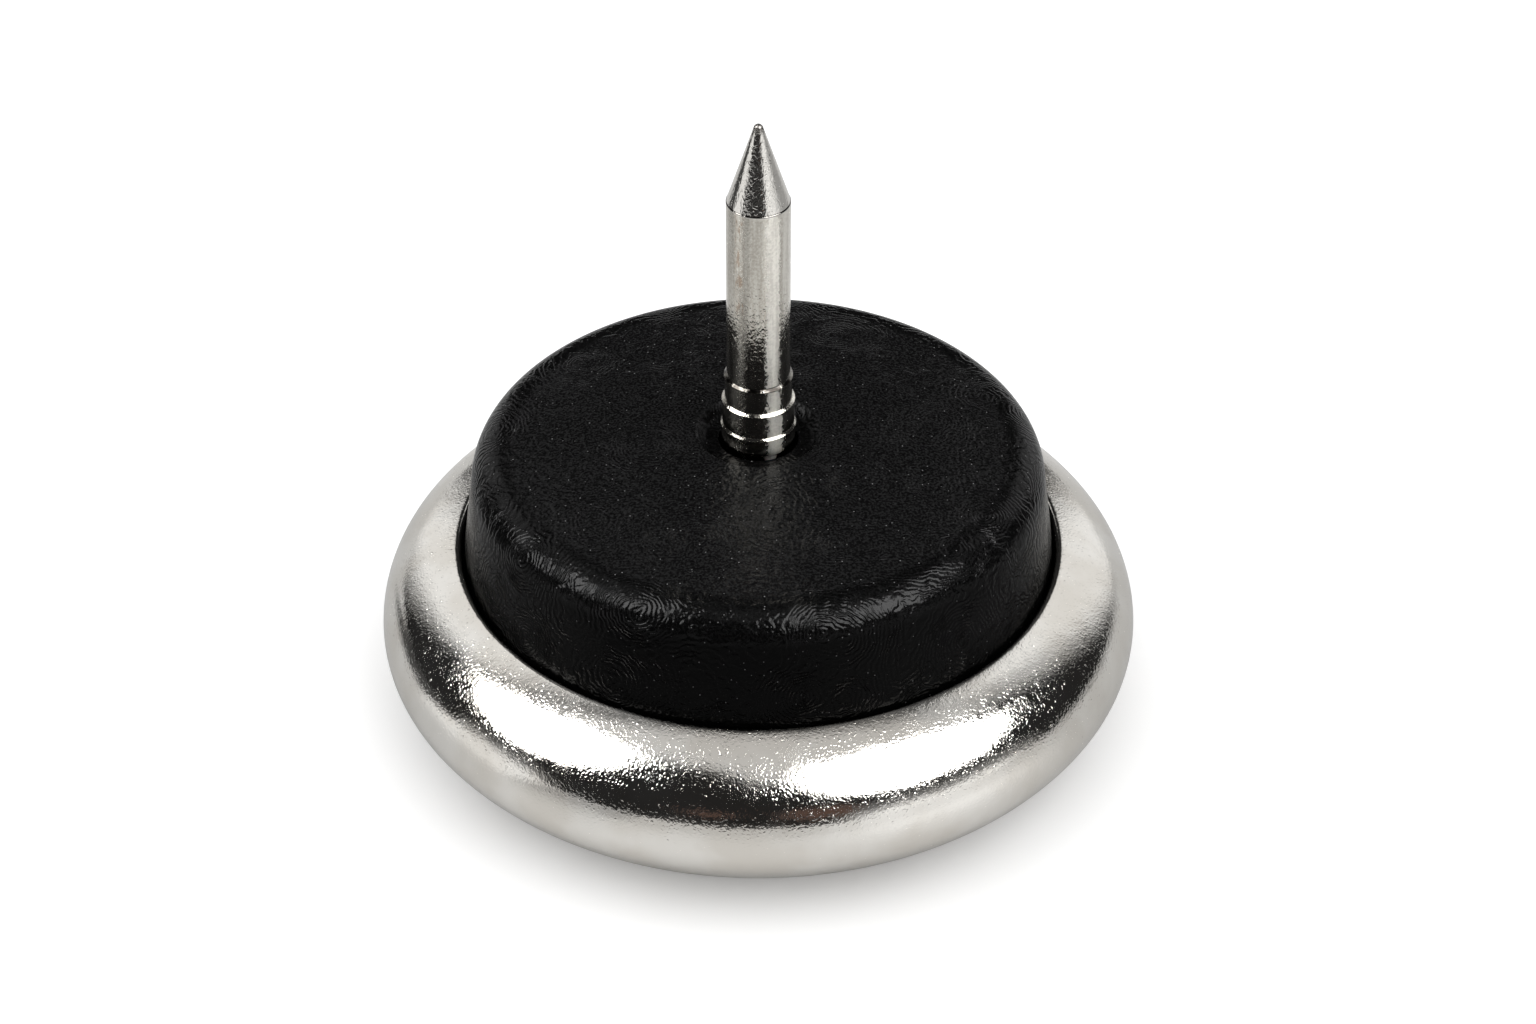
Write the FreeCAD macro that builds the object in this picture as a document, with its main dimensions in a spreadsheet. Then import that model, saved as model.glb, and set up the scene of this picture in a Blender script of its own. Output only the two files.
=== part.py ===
import FreeCAD, Part
import math
import os

import Sketcher

# Nail-on furniture glide, in millimetres, +Z up, standing on Z = 0 with its axis on Z.
# Three pieces: a pressed steel shell, a rubber cushion held by the shell's rolled rim,
# and a nail whose hidden head lies between the two.

SIZES = {
    # Shell: a sheet-metal cup whose fat round rim curls inwards over the cushion
    "OuterDiameter": 32.0,
    "SheetThickness": 0.8,
    "RimWidth": 3.5,             # from the outside of the rim in to its lip
    "RimSideRadius": 3.43,       # curve of the rim just above its widest line
    "RimTopRadius": 5.5,         # flatter curve over the top of the rim
    "RimTurnAngle": 47.5,        # where the side curve passes into the top curve
    "BellySideRadius": 2.54,     # curve of the rim just below its widest line
    "BellyRadius": 5.13,         # fuller curve that runs under the cup
    "BellyTurnAngle": 32.3,      # where the one passes into the other
    "DomeRadius": 90.0,          # shallow dome of the underside
    "FootDiameter": 12.0,        # flat middle of the dome, which the glide stands on
    "LipRound": 0.25,            # both corners of the cut edge
    # Cushion: moulded rubber with a drafted wall and a slightly crowned top
    "CushionRise": 5.66,         # middle of the crown above the shell's lip
    "CrownRadius": 64.0,
    "ShoulderRadius": 1.52,
    "WallDraft": 6.8,
    "SeamGap": 0.1,              # between the lip and the cushion's wall
    "FootClearance": 0.12,       # between the cushion's foot and the inside of the rim
    "SeatMargin": 0.3,           # the cushion's flat seat ends this far inside the foot
    "HoleClearance": 0.07,       # between the nail's widest ring and its hole
    "RecessDiameter": 5.2,
    "RecessWall": 0.35,          # width of the recess's sloping wall
    "RecessDepth": 0.42,         # below the middle of the crown
    "RecessFloorRound": 0.28,
    "RecessRimRound": 0.1,
    # Nail: round shank, three gripping rings, and a flat head that is out of sight
    "NailDiameter": 2.63,
    "NailReach": 15.25,          # tip above the floor of the recess
    "PointLength": 3.57,
    "PointLedge": 0.025,         # the cone's base is this much inside the shank
    "TipRadius": 0.2,
    "FirstRing": 0.115,          # each ring stands out from the shank by its own amount
    "SecondRing": 0.21,
    "ThirdRing": 0.26,
    "RingPitch": 1.17,
    "RingSlope": 0.1,            # height of the slope that leads onto a ring
    "RingUndercut": 0.04,        # below its edge a ring steps in again by this much
    "UndercutHeight": 0.05,
    "RingTaper": 0.01,           # the shank widens by this much down to the next ring
    "LowestRing": 0.87,          # widest edge of the third ring above the recess's floor
    "CollarDip": 0.12,           # bottom of the collar below the recess's floor
    "CollarRound": 0.42,
    "NeckCut": 0.215,            # the shank is this much slimmer below the collar
    "HeadDiameter": 8.0,
    "HeadThickness": 1.2,
    "HeadClearance": 0.1,        # pocket in the cushion round the head
}

# How a sketch names a curve's points and its own axes
START, END, CENTRE = range(1, 4)
X_AXIS, Y_AXIS = -1, -2
EDGE_TOLERANCE = 0.002

doc = FreeCAD.newDocument("FurnitureGlide")


def make_sheet():
    sheet = doc.addObject("Spreadsheet::Sheet", "Sizes")
    for row, (name, value) in enumerate(SIZES.items(), start=1):
        sheet.set("A%d" % row, name)
        sheet.set("B%d" % row, str(value))
        sheet.setAlias("B%d" % row, name)
    doc.recompute()
    return sheet


sheet = make_sheet()


def size(name):
    return float(sheet.get(name))


def polar(centre, radius, degrees):
    angle = math.radians(degrees)
    return (centre[0] + radius * math.cos(angle), centre[1] + radius * math.sin(angle))


def touching_angle(centre, radius, point):
    """Angle at which a line from a point runs onto a circle, anticlockwise of the point."""
    across, up = point[0] - centre[0], point[1] - centre[1]
    turn_to_point = math.atan2(up, across)
    return math.degrees(turn_to_point + math.acos(radius / math.hypot(across, up)))


# Sketches and features

class Profile:
    """Half section on a body's XZ plane: first coordinate the radius, second the height."""

    def __init__(self, body, name):
        self.sketch = body.newObject("Sketcher::SketchObject", name)
        plane = [part for part in body.Origin.OriginFeatures if part.Role == "XZ_Plane"][0]
        self.sketch.AttachmentSupport = [(plane, "")]
        self.sketch.MapMode = "FlatFace"

    def line(self, start, end, construction=False):
        first = FreeCAD.Vector(start[0], start[1], 0)
        last = FreeCAD.Vector(end[0], end[1], 0)
        return self.sketch.addGeometry(Part.LineSegment(first, last), construction)

    def arc(self, centre, radius, first, last):
        """Arc that runs anticlockwise from the first angle to the last, in degrees."""
        middle = FreeCAD.Vector(centre[0], centre[1], 0)
        circle = Part.Circle(middle, FreeCAD.Vector(0, 0, 1), radius)
        curve = Part.ArcOfCircle(circle, math.radians(first), math.radians(last))
        return self.sketch.addGeometry(curve, False)

    def rule(self, kind, *where):
        return self.sketch.addConstraint(Sketcher.Constraint(kind, *where))

    def bind(self, name, formula, kind, *where):
        """Named dimension that follows a formula on the sheet's values."""
        index = self.rule(kind, *where)
        self.sketch.renameConstraint(index, name)
        self.sketch.setExpression("Constraints." + name, formula)

    def bind_point(self, name, curve, end, place, radius, height):
        self.bind(name + "Radius", radius, "DistanceX", curve, end, place[0])
        self.bind(name + "Height", height, "DistanceY", curve, end, place[1])

    def report(self, name, kind, *where):
        """Named dimension that other sketches read and that drives nothing here."""
        index = self.rule(kind, *where)
        self.sketch.setDriving(index, False)
        self.sketch.renameConstraint(index, name)

    def chain(self, *pieces):
        """Join each piece's end to the next one's start."""
        for piece, following in zip(pieces, pieces[1:]):
            self.rule("Coincident", piece, END, following, START)

    def polygon(self, corners):
        """Closed outline of corners (name, place, radius formula or None on the axis, height)."""
        places = [corner[1] for corner in corners]
        sides = [self.line(start, end) for start, end in zip(places, places[1:] + places[:1])]
        self.chain(*sides, sides[0])
        for side, (name, place, radius, height) in zip(sides, corners):
            if radius is None:
                self.rule("PointOnObject", side, START, Y_AXIS)
                self.bind(name + "Height", height, "DistanceY", side, START, place[1])
            else:
                self.bind_point(name, side, START, place, radius, height)


def make_body(name, label):
    body = doc.addObject("PartDesign::Body", name)
    body.Label = label
    return body


def turn(body, profile, kind, name):
    """Full turn of a profile about the body's axis, added or cut away."""
    feature = body.newObject("PartDesign::" + kind, name)
    feature.Profile = profile.sketch
    feature.ReferenceAxis = (profile.sketch, ["V_Axis"])
    feature.Angle = 360.0
    doc.recompute()
    return feature


def rings_at(feature, *places):
    """Names of the circular edges about the axis that pass through the given places."""
    names = []
    for number, edge in enumerate(feature.Shape.Edges, start=1):
        if edge.Degenerated or not isinstance(edge.Curve, Part.Circle):
            continue
        for radius, height in places:
            near_radius = abs(edge.Curve.Radius - radius) < EDGE_TOLERANCE
            near_height = abs(edge.Curve.Center.z - height) < EDGE_TOLERANCE
            if near_radius and near_height:
                names.append("Edge%d" % number)
    if len(names) != len(places):
        raise RuntimeError("%s has %d of the edges %s" % (feature.Name, len(names), places))
    return names


def round_edges(body, feature, name, formula, *places):
    fillet = body.newObject("PartDesign::Fillet", name)
    fillet.Base = (feature, rings_at(feature, *places))
    fillet.setExpression("Radius", formula)
    doc.recompute()
    return fillet


# Shell

class Rim:
    """Where the shell's outer curves have their centres and its lip its place."""

    def __init__(self):
        girth = size("OuterDiameter") / 2
        side, self.top_radius = size("RimSideRadius"), size("RimTopRadius")
        belly_side, belly = size("BellySideRadius"), size("BellyRadius")
        dome, foot = size("DomeRadius"), size("FootDiameter") / 2
        self.dome_centre = (0.0, math.sqrt(dome**2 - foot**2))
        reach = polar((girth - belly_side, 0.0), belly_side - belly, -size("BellyTurnAngle"))
        slope = math.asin(reach[0] / (dome - belly))
        self.dome_end = math.degrees(slope) - 90.0
        height = self.dome_centre[1] - (dome - belly) * math.cos(slope) - reach[1]
        self.belly_side_centre = (girth - belly_side, height)
        self.belly_centre = (reach[0], reach[1] + height)
        self.side_centre = (girth - side, height)
        self.top_centre = polar(self.side_centre, side - self.top_radius, size("RimTurnAngle"))
        self.lip_radius = girth - size("RimWidth")

    def top_angle(self, offset, radius):
        """Angle on the top curve, set in by an offset, at a distance from the axis."""
        return math.degrees(math.acos((radius - self.top_centre[0]) / (self.top_radius - offset)))

    def top_point(self, offset, radius):
        return polar(self.top_centre, self.top_radius - offset, self.top_angle(offset, radius))


def rim_curves(profile, rim, offset, first, last):
    """The rim's four curves, from the belly round to the top, set in by an offset."""
    belly_turn, rim_turn = -size("BellyTurnAngle"), size("RimTurnAngle")
    belly = profile.arc(rim.belly_centre, size("BellyRadius") - offset, first, belly_turn)
    low = profile.arc(rim.belly_side_centre, size("BellySideRadius") - offset, belly_turn, 0)
    side = profile.arc(rim.side_centre, size("RimSideRadius") - offset, 0, rim_turn)
    top = profile.arc(rim.top_centre, size("RimTopRadius") - offset, rim_turn, last)
    for curve, following in ((belly, low), (low, side), (side, top)):
        profile.rule("Tangent", curve, END, following, START)
    return belly, low, side, top


def shell_outside(profile, rim):
    """Flat sole, dome, belly and rim, up to the lip."""
    foot, dome = size("FootDiameter") / 2, size("DomeRadius")
    sole = profile.line((0, 0), (foot, 0))
    under = profile.arc(rim.dome_centre, dome, math.degrees(math.asin(foot / dome)) - 90.0,
                        rim.dome_end)
    curves = rim_curves(profile, rim, 0.0, rim.dome_end, rim.top_angle(0.0, rim.lip_radius))
    belly, low, side, top = curves
    profile.rule("Coincident", sole, START, X_AXIS, START)
    profile.rule("Horizontal", sole)
    profile.chain(sole, under)
    profile.rule("PointOnObject", under, CENTRE, Y_AXIS)
    profile.rule("Tangent", under, END, belly, START)
    profile.rule("Horizontal", low, CENTRE, low, END)
    profile.bind("footRadius", "Sizes.FootDiameter / 2", "DistanceX", sole, END, foot)
    profile.bind("girthRadius", "Sizes.OuterDiameter / 2", "DistanceX", side, START,
                 size("OuterDiameter") / 2)
    for name, curve in (("DomeRadius", under), ("BellyRadius", belly), ("BellySideRadius", low),
                        ("RimSideRadius", side), ("RimTopRadius", top)):
        profile.bind(name, "Sizes." + name, "Radius", curve, size(name))
    # Spokes from the two side curves' centres give the angles of the turning points
    low_spoke = profile.line(rim.belly_side_centre,
                             polar(rim.belly_side_centre, 1.0, -size("BellyTurnAngle")), True)
    profile.rule("Coincident", low_spoke, START, low, CENTRE)
    profile.rule("Coincident", low_spoke, END, low, START)
    profile.bind("bellyTurn", "-Sizes.BellyTurnAngle * 1 deg", "Angle", low_spoke,
                 -math.radians(size("BellyTurnAngle")))
    side_spoke = profile.line(rim.side_centre,
                              polar(rim.side_centre, 1.0, size("RimTurnAngle")), True)
    profile.rule("Coincident", side_spoke, START, side, CENTRE)
    profile.rule("Coincident", side_spoke, END, side, END)
    profile.bind("rimTurn", "Sizes.RimTurnAngle * 1 deg", "Angle", side_spoke,
                 math.radians(size("RimTurnAngle")))
    return sole, (under,) + curves


def shell_inside(profile, rim, outside):
    """Flat floor, then the outside's curves one sheet thickness further in."""
    thickness = size("SheetThickness")
    bowl_radius = size("DomeRadius") - thickness
    floor_edge = math.sqrt(bowl_radius**2 - (rim.dome_centre[1] - thickness)**2)
    floor = profile.line((0, thickness), (floor_edge, thickness))
    bowl = profile.arc(rim.dome_centre, bowl_radius,
                       math.degrees(math.asin(floor_edge / bowl_radius)) - 90.0, rim.dome_end)
    curves = rim_curves(profile, rim, thickness, rim.dome_end,
                        rim.top_angle(thickness, rim.lip_radius))
    inside = (bowl,) + curves
    profile.chain(floor, bowl)
    profile.rule("Horizontal", floor)
    profile.rule("PointOnObject", floor, START, Y_AXIS)
    profile.rule("Tangent", bowl, END, curves[0], START)
    for outer, inner in zip(outside, inside):
        profile.rule("Coincident", outer, CENTRE, inner, CENTRE)
    profile.bind("floorHeight", "Sizes.SheetThickness", "DistanceY", floor, START, thickness)
    profile.bind("bowlRadius", "Sizes.DomeRadius - Sizes.SheetThickness", "Radius", bowl,
                 bowl_radius)
    return floor, inside


def make_shell():
    body = make_body("ShellBody", "glide_shell")
    profile = Profile(body, "ShellProfile")
    rim = Rim()
    sole, outside = shell_outside(profile, rim)
    floor, inside = shell_inside(profile, rim, outside)
    belly, low, side, top = outside[1:]

    # The sheet's cut edge stands upright at the lip
    lip_top = rim.top_point(0.0, rim.lip_radius)
    lip_under = rim.top_point(size("SheetThickness"), rim.lip_radius)
    lip = profile.line(lip_top, lip_under)
    middle = profile.line((0, size("SheetThickness")), (0, 0))
    profile.chain(top, lip)
    profile.rule("Coincident", lip, END, inside[-1], END)
    profile.rule("Vertical", lip)
    profile.bind("lipRadius", "Sizes.OuterDiameter / 2 - Sizes.RimWidth", "DistanceX", lip,
                 START, rim.lip_radius)
    profile.rule("Coincident", middle, START, floor, START)
    profile.chain(middle, sole)

    # What the other pieces take from the solved rim
    profile.report("girthHeight", "DistanceY", side, CENTRE, rim.side_centre[1])
    profile.report("bellyCentreRadius", "DistanceX", belly, CENTRE, rim.belly_centre[0])
    profile.report("bellyCentreHeight", "DistanceY", belly, CENTRE, rim.belly_centre[1])
    profile.report("topCentreRadius", "DistanceX", top, CENTRE, rim.top_centre[0])
    profile.report("topCentreHeight", "DistanceY", top, CENTRE, rim.top_centre[1])
    profile.report("lipHeight", "DistanceY", lip, START, lip_top[1])
    doc.recompute()

    cup = turn(body, profile, "Revolution", "Cup")
    round_edges(body, cup, "LipEdges", "Sizes.LipRound", lip_top, lip_under)
    return body


def solved(name):
    """Formula for a plain number read from the solved rim."""
    return "ShellProfile.Constraints.%s / 1 mm" % name


# Heights that the cushion and the nail share

LIP = solved("lipHeight")
CROWN = LIP + " + Sizes.CushionRise"
RECESS_FLOOR = CROWN + " - Sizes.RecessDepth"
HEAD_TOP = "Sizes.SheetThickness + Sizes.HeadThickness"


def lip_height():
    rim = Rim()
    return rim.top_point(0.0, rim.lip_radius)[1]


def crown_height(radius=0.0):
    """Height of the cushion's crown at a distance from the axis."""
    sphere = size("CrownRadius")
    return lip_height() + size("CushionRise") - sphere + math.sqrt(sphere**2 - radius**2)


def recess_floor():
    return crown_height() - size("RecessDepth")


def head_top():
    return size("SheetThickness") + size("HeadThickness")


# Cushion

def shoulder_corner(neck):
    """Where the drafted wall would meet the crown if the shoulder weren't rounded."""
    draft = math.tan(math.radians(size("WallDraft")))
    radius = neck
    for _ in range(30):
        radius = neck - (crown_height(radius) - lip_height()) * draft
    return (radius, crown_height(radius))


def cushion_foot(profile, rim, offset, neck):
    """Flat seat, then a curve that follows the inside of the rim up to the neck."""
    seat = (size("FootDiameter") / 2 - size("SeatMargin"), size("SheetThickness"))
    contact = touching_angle(rim.belly_centre, size("BellyRadius") - offset, seat)
    base = profile.line((0, seat[1]), seat)
    slope = profile.line(seat, polar(rim.belly_centre, size("BellyRadius") - offset, contact))
    curves = rim_curves(profile, rim, offset, contact, rim.top_angle(offset, neck))
    belly, low, side, top = curves
    profile.rule("Horizontal", base)
    profile.rule("PointOnObject", base, START, Y_AXIS)
    profile.chain(base, slope)
    profile.rule("Tangent", slope, END, belly, START)
    profile.bind_point("seat", base, END, seat, "Sizes.FootDiameter / 2 - Sizes.SeatMargin",
                       "Sizes.SheetThickness")
    profile.bind("footTopRadius",
                 "Sizes.RimTopRadius - Sizes.SheetThickness - Sizes.FootClearance", "Radius",
                 top, size("RimTopRadius") - offset)
    girth = solved("girthHeight")
    profile.bind_point("bellyCentre", belly, CENTRE, rim.belly_centre,
                       solved("bellyCentreRadius"), solved("bellyCentreHeight"))
    profile.bind_point("lowCentre", low, CENTRE, rim.belly_side_centre,
                       "Sizes.OuterDiameter / 2 - Sizes.BellySideRadius", girth)
    profile.bind_point("sideCentre", side, CENTRE, rim.side_centre,
                       "Sizes.OuterDiameter / 2 - Sizes.RimSideRadius", girth)
    profile.bind_point("topCentre", top, CENTRE, rim.top_centre,
                       solved("topCentreRadius"), solved("topCentreHeight"))
    return base, top


def make_blank_cushion(body):
    profile = Profile(body, "CushionProfile")
    rim = Rim()
    offset = size("SheetThickness") + size("FootClearance")
    neck = rim.lip_radius - size("SeamGap")
    lip = lip_height()
    corner = shoulder_corner(neck)
    base, foot_top = cushion_foot(profile, rim, offset, neck)

    # Straight neck inside the lip, drafted wall above it, and the crown
    sphere = size("CrownRadius")
    stem = profile.line(rim.top_point(offset, neck), (neck, lip))
    wall = profile.line((neck, lip), corner)
    crown = profile.arc((0, crown_height() - sphere), sphere,
                        math.degrees(math.acos(corner[0] / sphere)), 90)
    middle = profile.line((0, crown_height()), (0, size("SheetThickness")))
    profile.chain(foot_top, stem, wall, crown, middle, base)
    profile.rule("PointOnObject", crown, CENTRE, Y_AXIS)
    profile.rule("Vertical", middle)
    profile.bind_point("neck", stem, END, (neck, lip),
                       "Sizes.OuterDiameter / 2 - Sizes.RimWidth - Sizes.SeamGap", LIP)
    profile.rule("Vertical", stem)
    profile.bind("wallAngle", "(90 + Sizes.WallDraft) * 1 deg", "Angle", wall,
                 math.radians(90 + size("WallDraft")))
    profile.bind("crownRadius", "Sizes.CrownRadius", "Radius", crown, sphere)
    profile.bind("crownHeight", CROWN, "DistanceY", middle, START, crown_height())
    doc.recompute()
    blank = turn(body, profile, "Revolution", "Moulding")
    round_edges(body, blank, "Shoulder", "Sizes.ShoulderRadius", corner)


def make_cushion():
    body = make_body("CushionBody", "cushion")
    make_blank_cushion(body)

    # Pocket for the nail's head, open below
    head = "Sizes.HeadDiameter / 2 + Sizes.HeadClearance"
    roof = HEAD_TOP + " + Sizes.HeadClearance"
    head_radius = size("HeadDiameter") / 2 + size("HeadClearance")
    roof_height = head_top() + size("HeadClearance")
    pocket = Profile(body, "HeadPocketProfile")
    pocket.polygon((
        ("foot", (0, 0), None, "0"),
        ("mouth", (head_radius, 0), head, "0"),
        ("roof", (head_radius, roof_height), head, roof),
        ("middle", (0, roof_height), None, roof),
    ))
    turn(body, pocket, "Groove", "HeadPocket")

    # Hole for the shank and its rings
    bore = "Sizes.NailDiameter / 2 + Sizes.ThirdRing + Sizes.HoleClearance"
    bore_radius = size("NailDiameter") / 2 + size("ThirdRing") + size("HoleClearance")
    hole = Profile(body, "NailHoleProfile")
    hole.polygon((
        ("foot", (0, 0), None, "0"),
        ("entry", (bore_radius, 0), bore, "0"),
        ("exit", (bore_radius, crown_height()), bore, CROWN),
        ("top", (0, crown_height()), None, CROWN),
    ))
    turn(body, hole, "Groove", "NailHole")

    # Shallow recess round the nail, with a sloping wall
    edge_radius = size("RecessDiameter") / 2
    floor_radius = edge_radius - size("RecessWall")
    edge_height = crown_height(edge_radius)
    edge_formula = (CROWN + " - Sizes.CrownRadius"
                    " + sqrt(Sizes.CrownRadius ^ 2 - (Sizes.RecessDiameter / 2) ^ 2)")
    recess = Profile(body, "RecessProfile")
    recess.polygon((
        ("floor", (0, recess_floor()), None, RECESS_FLOOR),
        ("corner", (floor_radius, recess_floor()),
         "Sizes.RecessDiameter / 2 - Sizes.RecessWall", RECESS_FLOOR),
        ("edge", (edge_radius, edge_height), "Sizes.RecessDiameter / 2", edge_formula),
        ("rim", (edge_radius, crown_height()), "Sizes.RecessDiameter / 2", CROWN),
        ("top", (0, crown_height()), None, CROWN),
    ))
    dish = turn(body, recess, "Groove", "Recess")
    soft_floor = round_edges(body, dish, "RecessFloorEdge", "Sizes.RecessFloorRound",
                             (floor_radius, recess_floor()))
    round_edges(body, soft_floor, "RecessRimEdge", "Sizes.RecessRimRound",
                (edge_radius, edge_height))
    return body


# Nail

def make_blank_nail(body):
    """Head, neck, shank and conical point with a rounded tip, as one turned outline."""
    shank = size("NailDiameter") / 2
    neck = shank - size("NeckCut")
    head = size("HeadDiameter") / 2
    tip = recess_floor() + size("NailReach")
    base = tip - size("PointLength")
    ledge = size("PointLedge")
    tip_radius = size("TipRadius")
    tip_centre = (0, tip - tip_radius)
    cone_foot = (shank - ledge, base + ledge)
    collar_foot = recess_floor() - size("CollarDip")
    collar_formula = RECESS_FLOOR + " - Sizes.CollarDip"
    tip_formula = RECESS_FLOOR + " + Sizes.NailReach"
    base_formula = tip_formula + " - Sizes.PointLength"
    neck_formula = "Sizes.NailDiameter / 2 - Sizes.NeckCut"

    corners = (
        ("sole", (0, size("SheetThickness")), None, "Sizes.SheetThickness"),
        ("headEdge", (head, size("SheetThickness")), "Sizes.HeadDiameter / 2",
         "Sizes.SheetThickness"),
        ("headTop", (head, head_top()), "Sizes.HeadDiameter / 2", HEAD_TOP),
        ("neckFoot", (neck, head_top()), neck_formula, HEAD_TOP),
        ("neckTop", (neck, collar_foot), neck_formula, collar_formula),
        ("shankFoot", (shank, collar_foot), "Sizes.NailDiameter / 2", collar_formula),
        ("shankTop", (shank, base), "Sizes.NailDiameter / 2", base_formula),
        ("coneFoot", cone_foot, "Sizes.NailDiameter / 2 - Sizes.PointLedge",
         base_formula + " + Sizes.PointLedge"),
    )
    contact = touching_angle(tip_centre, tip_radius, cone_foot)
    places = [corner[1] for corner in corners] + [polar(tip_centre, tip_radius, contact)]
    profile = Profile(body, "NailProfile")
    sides = [profile.line(start, end) for start, end in zip(places, places[1:])]
    nose = profile.arc(tip_centre, tip_radius, contact, 90)
    middle = profile.line((0, tip), places[0])
    profile.chain(*sides)
    profile.rule("Tangent", sides[-1], END, nose, START)
    profile.chain(nose, middle, sides[0])
    profile.rule("PointOnObject", nose, CENTRE, Y_AXIS)
    profile.rule("Vertical", middle)
    profile.bind("tipRadius", "Sizes.TipRadius", "Radius", nose, tip_radius)
    profile.bind("tipHeight", tip_formula, "DistanceY", middle, START, tip)
    for side, (name, place, radius, height) in zip(sides, corners):
        if radius is None:
            profile.rule("PointOnObject", side, START, Y_AXIS)
            profile.bind(name + "Height", height, "DistanceY", side, START, place[1])
        else:
            profile.bind_point(name, side, START, place, radius, height)
    doc.recompute()
    return turn(body, profile, "Revolution", "NailBlank")


def add_ring(body, name, above, rank):
    """One gripping ring and the stretch of shank below it, down to the next ring."""
    undercut, taper, slope = size("RingUndercut"), size("RingTaper"), size("RingSlope")
    shank = size("NailDiameter") / 2
    ring = shank + size(name)
    over = shank + (size(above) - undercut + taper if above else 0.0)
    height = recess_floor() + size("LowestRing") + rank * size("RingPitch")
    low = height + slope - size("RingPitch") if rank else recess_floor() - size("CollarDip")

    ring_formula = "Sizes.NailDiameter / 2 + Sizes." + name
    land_formula = ring_formula + " - Sizes.RingUndercut"
    over_formula = "Sizes.NailDiameter / 2"
    if above:
        over_formula += " + Sizes." + above + " - Sizes.RingUndercut + Sizes.RingTaper"
    height_formula = RECESS_FLOOR + " + Sizes.LowestRing + %d * Sizes.RingPitch" % rank
    low_formula = height_formula + " + Sizes.RingSlope - Sizes.RingPitch"
    if not rank:
        low_formula = RECESS_FLOOR + " - Sizes.CollarDip"

    foot = (ring - undercut + taper, low)
    profile = Profile(body, name + "Profile")
    profile.polygon((
        ("middleFoot", (0, low), None, low_formula),
        ("landFoot", foot, land_formula + " + Sizes.RingTaper", low_formula),
        ("landTop", (ring - undercut, height - size("UndercutHeight")), land_formula,
         height_formula + " - Sizes.UndercutHeight"),
        ("edge", (ring, height), ring_formula, height_formula),
        ("slopeTop", (over, height + slope), over_formula,
         height_formula + " + Sizes.RingSlope"),
        ("middleTop", (0, height + slope), None, height_formula + " + Sizes.RingSlope"),
    ))
    return turn(body, profile, "Revolution", name + "Turned"), foot


def make_nail():
    body = make_body("NailBody", "nail")
    make_blank_nail(body)
    names = ("FirstRing", "SecondRing", "ThirdRing")
    for number, name in enumerate(names):
        above = names[number - 1] if number else None
        feature, foot = add_ring(body, name, above, len(names) - 1 - number)
    round_edges(body, feature, "CollarEdge", "Sizes.CollarRound", foot)
    return body


def check(bodies):
    doc.recompute()
    for thing in doc.Objects:
        if "Invalid" in thing.State or "Error" in thing.State:
            raise RuntimeError("%s failed" % thing.Name)
    for body in bodies:
        shape = body.Shape
        if shape.isNull() or not shape.isValid() or len(shape.Solids) != 1:
            raise RuntimeError("%s isn't one sound solid" % body.Label)


bodies = [make_shell(), make_cushion(), make_nail()]
check(bodies)
os.makedirs("parts", exist_ok=True)
for body in bodies:
    body.Shape.exportStep("parts/%s.step" % body.Label)
    print("%s %.3f mm3" % (body.Label, body.Shape.Volume))
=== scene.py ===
import math

import bmesh
import bpy
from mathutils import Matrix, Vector


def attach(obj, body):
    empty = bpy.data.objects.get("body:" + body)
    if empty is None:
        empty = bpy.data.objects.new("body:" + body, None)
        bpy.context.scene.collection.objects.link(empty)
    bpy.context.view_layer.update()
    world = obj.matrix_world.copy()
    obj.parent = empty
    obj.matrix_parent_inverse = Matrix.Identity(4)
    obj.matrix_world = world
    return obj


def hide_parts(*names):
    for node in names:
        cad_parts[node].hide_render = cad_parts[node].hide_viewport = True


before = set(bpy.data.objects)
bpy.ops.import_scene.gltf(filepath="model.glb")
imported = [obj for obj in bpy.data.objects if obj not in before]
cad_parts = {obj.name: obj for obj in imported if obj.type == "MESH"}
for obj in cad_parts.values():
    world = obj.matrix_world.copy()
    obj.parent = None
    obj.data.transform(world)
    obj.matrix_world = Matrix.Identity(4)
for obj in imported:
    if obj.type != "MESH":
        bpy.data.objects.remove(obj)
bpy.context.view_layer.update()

# Lengths below are in millimetres, heights are above the floor

MM = 0.001
ROUND_STEPS = 288            # facets round each turned piece
LONG_STRETCH = 0.4           # straight stretches from this length on get bracing points
BRACE = 0.02
SEEN_STEPS = 28              # facets along a curve that shows
BROAD_STEPS = 16
HIDDEN_STEPS = 12
NOSE_STEPS = 10
LIP_STEPS = 8
CORNER_STEPS = 6

# Shell: pressed sheet with a fat rolled rim

GIRTH = 16.0                 # widest radius
SHEET = 0.8
RIM_WIDTH = 3.5
RIM_SIDE = 3.43              # rim's curve just above its widest line
RIM_TOP = 5.5                # flatter curve over the top
RIM_TURN = 47.5
BELLY_SIDE = 2.54            # rim's curve just below its widest line
BELLY = 5.13                 # fuller curve under the cup
BELLY_TURN = 32.3
DOME = 90.0
SOLE = 6.0                   # radius of the flat middle that it stands on
LIP_ROUND = 0.25

# Cushion: rubber moulding that the rim holds

FOOT_GAP = 0.12
SEAM_GAP = 0.1
SEAT = 5.7
RISE = 5.66                  # middle of the crown above the lip
CROWN = 64.0
SHOULDER = 1.52
DRAFT = 6.8
CROWN_RADIUS = 10.7          # where the crown passes into the shoulder
WALL_TOP = 11.55             # height at which the shoulder passes into the wall
HOLE = 1.645
RECESS = 2.6
RECESS_WALL = 0.35
RECESS_DEPTH = 0.42
RECESS_EDGE_ROUND = 0.1
RECESS_FILLET = 0.28
HOLE_ROUND = 0.06
POCKET = 4.1
POCKET_ROOF = 2.1

# Nail

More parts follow.
